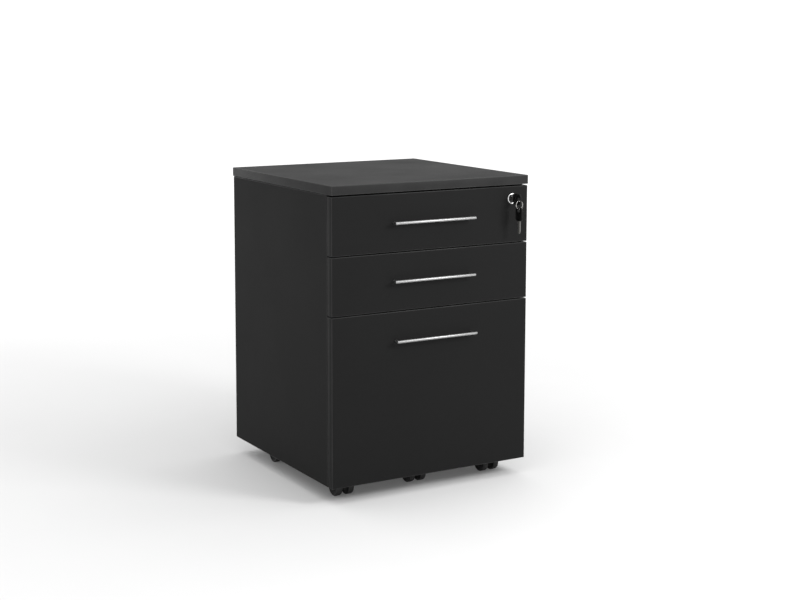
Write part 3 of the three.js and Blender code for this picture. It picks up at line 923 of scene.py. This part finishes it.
def add_key(name, node, body, place, blade_length):
    """A moulded head with a raised rim over a cut nickel blade.
    Drawn in X and Y with the head's far end at X = 0 and the tip towards +X, then placed."""
    middle = Matrix.Translation((HEAD.x / 2, 0, 0))
    head_outline = round_rectangle(HEAD.x, HEAD.y, 5.5 * MM, steps=8)
    hole = round_outline((HOLE_FROM_END - HEAD.x / 2, 0), HOLE_RADIUS, 32)
    bm = plate([head_outline, hole], HEAD.z - 1.2 * MM, 0.9 * MM, place @ middle)
    rim = (HEAD.x - 14 * MM, HEAD.y - 4 * MM)
    rim_outline = round_rectangle(*rim, 4 * MM, steps=8)
    rim_hole = round_rectangle(rim[0] - 3.6 * MM, rim[1] - 3.6 * MM, 2.4 * MM, steps=8)
    shift = Matrix.Translation((HEAD.x - rim[0] / 2 - 1.6 * MM, 0, 0))
    merge(bm, plate([rim_outline, rim_hole], HEAD.z, 0.5 * MM, place @ shift))
    add_piece(f"{name}_head", bm, [KEY_PLASTIC], body, [node])

    tip = HEAD.x + blade_length
    root = HEAD.x - 4 * MM
    half = 4 * MM
    shoulder = tip - 4 * MM  # where the point begins
    pitch = (blade_length - 9 * MM) / len(BITTING)
    upper = []
    for index, depth in enumerate(BITTING):
        start = shoulder - index * pitch
        bottom = half - depth
        upper += [
            (start, half),
            (start - pitch * 0.3, bottom),
            (start - pitch * 0.55, bottom),
            (start - pitch * 0.85, half),
        ]
    outline = [(root, -half), (shoulder, -half), (tip, -MM), (tip, MM), *upper, (root, half)]
    bm = plate([outline], 2 * MM, 0.2 * MM, place)
    blade = add_piece(f"{name}_blade", bm, [KEY_STEEL], body)
    for side in SIDES:
        groove = bmesh.new()
        inner, outer = sorted((side * 0.55 * MM, side * 1.4 * MM))
        vertices = block(groove, (HEAD.x + MM, -1.7 * MM, inner), (tip + MM, -0.5 * MM, outer))
        bmesh.ops.transform(groove, matrix=place, verts=vertices)
        carve(blade, groove)


def add_keys():
    low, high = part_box("key")
    centre = ANCHORS["lock_turn"]
    # In the lock the key lies along Y, its faces across X.
    lying = Matrix((Y, Z, X)).transposed().to_4x4()
    place = Matrix.Translation((centre.x, low.y, centre.z)) @ lying
    add_key("key", "key", "key", place, high.y - low.y - HEAD.x)

    spare_low, spare_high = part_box("spare_key")
    hanging = Matrix((-Z, Y, X)).transposed().to_4x4()
    spare_y = (spare_low.y + spare_high.y) / 2
    place = Matrix.Translation((centre.x, spare_y, spare_high.z)) @ hanging
    add_key("spare_key", "spare_key", "spare_key", place, spare_high.z - spare_low.z - HEAD.x)


def add_key_ring():
    """The split ring: two turns of wire side by side, crossing over once."""
    low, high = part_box("key_ring")
    centre = (low + high) / 2
    radius = (high.z - low.z) / 2 - 0.7 * MM
    wire = 0.42 * MM
    points = []
    turns, steps = 2, 96
    for step in range(turns * steps + 1):
        angle = 2 * math.pi * step / steps - math.pi * 0.7
        slide = max(0.0, min(1.0, (step - 0.85 * steps) / (0.3 * steps)))
        across = wire * 1.1 * (2 * (3 * slide**2 - 2 * slide**3) - 1)
        points.append(centre + Vector((radius * math.sin(angle), across, radius * math.cos(angle))))
    bm = bmesh.new()
    tube(bm, points, wire)
    add_piece("key_ring", bm, [NICKEL], "key_ring", ["key_ring"])


def add_lock_bar():
    """The pressed bar keeps its CAD shape."""
    node = frame["nodes"]["lock_bar"]
    node.data.materials.clear()
    node.data.materials.append(ZINC)


def add_lock_pins():
    """A flanged pin with a waisted shank on the side of each drawer's box."""
    for number in (1, 2, 3):
        pin_node = f"drawer_{number}_lock_pin"
        low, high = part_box(pin_node)
        radius = (high.z - low.z) / 2
        centre = Vector((0, (low.y + high.y) / 2, (low.z + high.z) / 2))
        profile = [
            (0, low.x),
            (radius * 1.5, low.x),
            (radius * 1.5, low.x + 1.2 * MM),
            (radius * 0.8, low.x + 1.4 * MM),
            (radius * 0.8, high.x - 2.4 * MM),
            (radius, high.x - 2.2 * MM),
            (radius, high.x - 0.4 * MM),
            (radius - 0.4 * MM, high.x),
            (0, high.x),
        ]
        bm = bmesh.new()
        lathe(bm, profile, X, centre, segments=32)
        add_piece(pin_node, bm, [ZINC], f"drawer_{number}", [pin_node])


# ---------------------------------------------------------------- castors


WHEEL_RADIUS = 20 * MM
TREAD_FROM = 18.9 * MM  # radius where the tread's rubbed surface begins
AXLE_RADIUS = 2.5 * MM
STEM_RADIUS = 3.5 * MM
BOSS_RADIUS = 5.9 * MM


def add_wheel(castor, word, side):
    """A twin wheel: crowned tread, dished face with a raised ring, and a domed hub cap."""
    node = f"{castor}_wheel_{word}"
    low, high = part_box(node)
    hub = ANCHORS[f"{node}_spin"]
    inner, outer = (low.x, high.x) if side > 0 else (high.x, low.x)
    radius = WHEEL_RADIUS

    def out(distance):
        return outer - side * distance * MM

    profile = [
        (2.8 * MM, out(1.6)),
        (2.8 * MM, inner + side * 0.2 * MM),
        (7 * MM, inner + side * 0.2 * MM),
        (7.6 * MM, inner + side * 1.4 * MM),
        (15.5 * MM, inner + side * 1.4 * MM),
        (16.2 * MM, inner),
        (18.4 * MM, inner),
        (19.4 * MM, inner + side * 0.5 * MM),
        (radius - 0.12 * MM, inner + side * 1.6 * MM),
        (radius, inner + side * 4.5 * MM),
        (radius, out(4.5)),
        (radius - 0.12 * MM, out(1.6)),
        (19.4 * MM, out(0.5)),
        (18.6 * MM, out(0.05)),
        (17.4 * MM, out(0)),
        (16.4 * MM, out(0.5)),
        (15.8 * MM, out(1.5)),
        (10.4 * MM, out(2.2)),
        (9.8 * MM, out(1.9)),
        (9.2 * MM, out(0.7)),
        (8.4 * MM, out(0.3)),
        (4.5 * MM, out(0.1)),
        (0, out(0)),
    ]
    bm = bmesh.new()
    centre = Vector((0, hub.y, hub.z))
    lathe(bm, [(0, out(1.6)), *profile], X, centre, segments=72)
    for face in bm.faces:
        offset = face.calc_center_median() - centre
        offset.x = 0
        face.material_index = 1 if offset.length > TREAD_FROM else 0
    add_piece(node, bm, [CASTOR_PLASTIC, TREAD], node, [node], sharp=40)


def add_hood(castor):
    """The hood over both wheels, its web, stem boss, steel stem and axle."""
    node = f"{castor}_hood"
    stem = ANCHORS[f"{castor}_swivel"]
    axle = ANCHORS[f"{castor}_wheel_left_spin"]
    low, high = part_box(node)
    half = (high.x - low.x) / 2
    outer, inner = 22.5 * MM, 20.9 * MM
    web = 5.9 * MM
    middle = Vector((stem.x, axle.y, axle.z))
    section = [
        (outer - 0.9 * MM, -half),
        (outer - 0.25 * MM, -half + 0.35 * MM),
        (outer, -half + 1.2 * MM),
        (outer, half - 1.2 * MM),
        (outer - 0.25 * MM, half - 0.35 * MM),
        (outer - 0.9 * MM, half),
        (inner, half),
        (inner, web + 0.8 * MM),
        (inner - 0.8 * MM, web),
        (5 * MM, web),
        (5 * MM, -web),
        (inner - 0.8 * MM, -web),
        (inner, -web - 0.8 * MM),
        (inner, -half),
    ]
    bm = bmesh.new()
    arc = {"start": math.radians(-20), "sweep": math.radians(166.25), "closed": True}
    lathe(bm, section, X, middle, segments=56, **arc)
    hub = [(0, -web), (6.4 * MM, -web), (6.4 * MM, web), (0, web)]
    lathe(bm, hub, X, middle, segments=40)
    foot = Vector((stem.x, stem.y, 0))
    boss_bottom, boss_top = axle.z - 6 * MM, axle.z + 22.6 * MM
    boss = [
        (0, boss_bottom),
        (BOSS_RADIUS - 0.3 * MM, boss_bottom),
        (BOSS_RADIUS, boss_bottom + 0.5 * MM),
        (BOSS_RADIUS, boss_top),
        (0, boss_top),
    ]
    lathe(bm, boss, Z, foot, segments=40)
    piece = add_piece(node, bm, [CASTOR_PLASTIC], f"{castor}_swivel", [node])
    piece.data.materials.append(ZINC)

    bm = bmesh.new()
    inside = axle.z + 20 * MM
    shaft = [(0, inside), (STEM_RADIUS, inside), (STEM_RADIUS, high.z), (0, high.z)]
    lathe(bm, shaft, Z, foot, segments=32)
    reach = half - 2 * MM
    pin = [(0, -reach), (AXLE_RADIUS, -reach), (AXLE_RADIUS, reach), (0, reach)]
    lathe(bm, pin, X, middle, segments=32)
    add_piece(f"{castor}_pins", bm, [ZINC], f"{castor}_swivel")


def add_castor_plate(castor, body):
    """The screwed plate with its pressed boss, and its four screws."""
    node = f"{castor}_plate"
    low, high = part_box(node)
    centre = (low + high) / 2
    size = high.x - low.x
    thickness = 2.3 * MM
    corner = size / 2 - 5 * MM
    spots = [(sx * corner, sy * corner) for sx in SIDES for sy in SIDES]
    outline = round_rectangle(size, size, 4 * MM)
    place = Matrix.Translation((centre.x, centre.y, high.z - thickness / 2))
    bm = plate([outline], thickness, 0.35 * MM, place)
    underside = high.z - thickness
    bore = STEM_RADIUS + 0.4 * MM
    boss = [
        (bore, low.z),
        (8.2 * MM, low.z),
        (9.2 * MM, low.z + 0.6 * MM),
        (9.8 * MM, underside - 0.8 * MM),
        (11 * MM, underside - 0.05 * MM),
        (11 * MM, underside + 0.3 * MM),
        (bore, underside + 0.3 * MM),
    ]
    lathe(bm, boss, Z, Vector((centre.x, centre.y, 0)), segments=56, closed=True)
    add_piece(node, bm, [ZINC], body, [node])
    for index, (dx, dy) in enumerate(spots, start=1):
        head = Vector((centre.x + dx, centre.y + dy, underside))
        add_screw(f"{node}_screw_{index}", head, -Z, body, 3.2 * MM)


def add_castors():
    for castor in CASTORS:
        body = "drawer_3" if castor == "castor_fifth" else "cabinet"
        add_castor_plate(castor, body)
        add_hood(castor)
        for side, word in zip(SIDES, ("left", "right")):
            add_wheel(castor, word, side)


def add_bracket():
    """The fifth castor's folded bracket, with its screws into the drawer front."""
    low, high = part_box("fifth_castor_bracket")
    thickness = 2.5 * MM
    middle = thickness / 2
    line = [
        (low.y + middle, high.z),
        (low.y + middle, low.z + middle),
        (high.y, low.z + middle),
    ]
    profile = thickened(rounded_line(line, 3 * MM, steps=6), thickness)
    bm = bmesh.new()
    prism(bm, [tuple(p) for p in profile], X, low.x, high.x)
    name = "fifth_castor_bracket"
    piece = add_piece(name, bm, [ZINC], "drawer_3", [name])
    soften(piece, 0.3 * MM)
    for side, word in zip(SIDES, ("left", "right")):
        head = Vector((side * 16 * MM, low.y + thickness, high.z - 8 * MM))
        add_screw(f"bracket_screw_{word}", head, Y, "drawer_3")


# ---------------------------------------------------------------- stage


HORIZON = 1.4  # brightness of the surroundings: low down, in the band above, and overhead
BAND = 0.76
CEILING = 1.6
FLOOR_REACH = 30
# The floor's glow: painted light that lifts the shadows round the cabinet.
FLOOR_GLOW = 0.07
SOFTBOX = 0.6


def add_floor():
    """A wide pale floor, darker near the cabinet as a painted shadow, with a faint glow that is
    painted light lifting the shadows round the cabinet.
    """
    bm = bmesh.new()
    corners = ((-1, -1), (1, -1), (1, 1), (-1, 1))
    bm.faces.new([bm.verts.new((x * FLOOR_REACH, y * FLOOR_REACH, 0)) for x, y in corners])
    mesh = bpy.data.meshes.new("floor")
    bm.to_mesh(mesh)
    bm.free()
    floor = bpy.data.objects.new("floor", mesh)
    bpy.context.scene.collection.objects.link(floor)
    paint = Finish("floor_paint", specular=0.1)
    far = paint.node("ShaderNodeVectorMath", operation="LENGTH")
    paint.link(paint.coordinates, far.inputs[0])
    # Darker near the cabinet and paler far off: a painted shadow round the cabinet.
    painted_shade_near = paint.mix(paint.spread(paint.noise(3), 0, 1), grey(0.63), grey(0.64))
    paint.colour(paint.mix(paint.spread(far.outputs["Value"], 0, 1, 0.6, 3.5), painted_shade_near, grey(0.88)))
    paint.shader.inputs["Roughness"].default_value = 0.8
    # A faint glow, painted light that lightens the shadows on the floor.
    paint.shader.inputs["Emission Color"].default_value = (1, 1, 1, 1)
    paint.shader.inputs["Emission Strength"].default_value = FLOOR_GLOW
    mesh.materials.append(paint.material)


def add_surroundings():
    """A white studio: bright along the horizon, dimmer above it and bright overhead."""
    world = bpy.data.worlds.new("studio")
    bpy.context.scene.world = world
    world.use_nodes = True
    tree = world.node_tree
    background = tree.nodes["Background"]
    background.inputs["Color"].default_value = (1, 1, 1, 1)
    direction = tree.nodes.new("ShaderNodeTexCoord").outputs["Generated"]
    parts = tree.nodes.new("ShaderNodeSeparateXYZ")
    tree.links.new(direction, parts.inputs["Vector"])
    steps = []
    for start, end, change in ((0.03, 0.1, BAND - HORIZON), (0.5, 0.8, CEILING - BAND)):
        step = tree.nodes.new("ShaderNodeMapRange")
        step.interpolation_type = "SMOOTHSTEP"
        for name, number in zip(("From Min", "From Max", "To Min", "To Max"), (start, end, 0, change)):
            step.inputs[name].default_value = number
        tree.links.new(parts.outputs["Z"], step.inputs["Value"])
        steps.append(step.outputs["Result"])
    change = tree.nodes.new("ShaderNodeMath")
    tree.links.new(steps[0], change.inputs[0])
    tree.links.new(steps[1], change.inputs[1])
    strength = tree.nodes.new("ShaderNodeMath")
    strength.inputs[1].default_value = HORIZON
    tree.links.new(change.outputs[0], strength.inputs[0])
    tree.links.new(strength.outputs[0], background.inputs["Strength"])


def add_softbox(name, place, target, size, brightness):
    """A square soft light; its brightness is that of its surface."""
    light = bpy.data.lights.new(name, "AREA")
    light.shape = "SQUARE"
    light.size = size
    light.energy = brightness * math.pi * size**2
    lamp = bpy.data.objects.new(name, light)
    lamp.location = place
    lamp.rotation_mode = "QUATERNION"
    lamp.rotation_quaternion = (Vector(target) - Vector(place)).to_track_quat("-Z", "Y")
    lamp.visible_camera = False
    bpy.context.scene.collection.objects.link(lamp)


def add_stage():
    add_floor()
    add_surroundings()
    add_softbox("key_light", (0.9, -1.6, 1.25), (0, -0.2, 0.5), SOFTBOX, brightness=20)
    add_softbox("edge_light", (-2.2, -1.7, 1.2), (-0.2, -0.2, 0.35), SOFTBOX, brightness=1)


def add_camera():
    """The camera of the reference view: above the cabinet and to its left, tilted down a
    little. Its shift keeps the uprights nearly parallel."""
    camera = bpy.data.cameras.new("camera")
    camera.sensor_width = 36
    camera.lens = 68.05
    camera.shift_x = 0.036
    camera.shift_y = -0.1064
    holder = bpy.data.objects.new("camera", camera)
    holder.location = (-1.6186, -2.8042, 0.957)
    holder.rotation_euler = (math.radians(90 - 7.105), 0, math.radians(-29.62))
    bpy.context.scene.collection.objects.link(holder)
    bpy.context.scene.camera = holder


# ---------------------------------------------------------------- the whole

add_camera()
add_stage()
add_case()
add_fronts()
for drawer in (1, 2, 3):
    add_handle(drawer)
    add_drawer_box(drawer)
add_slides()
add_file_rail("left")
add_file_rail("right")
add_lock()
add_keys()
add_key_ring()
add_lock_bar()
add_lock_pins()
add_castors()
add_bracket()

bpy.context.scene.view_settings.view_transform = "Standard"
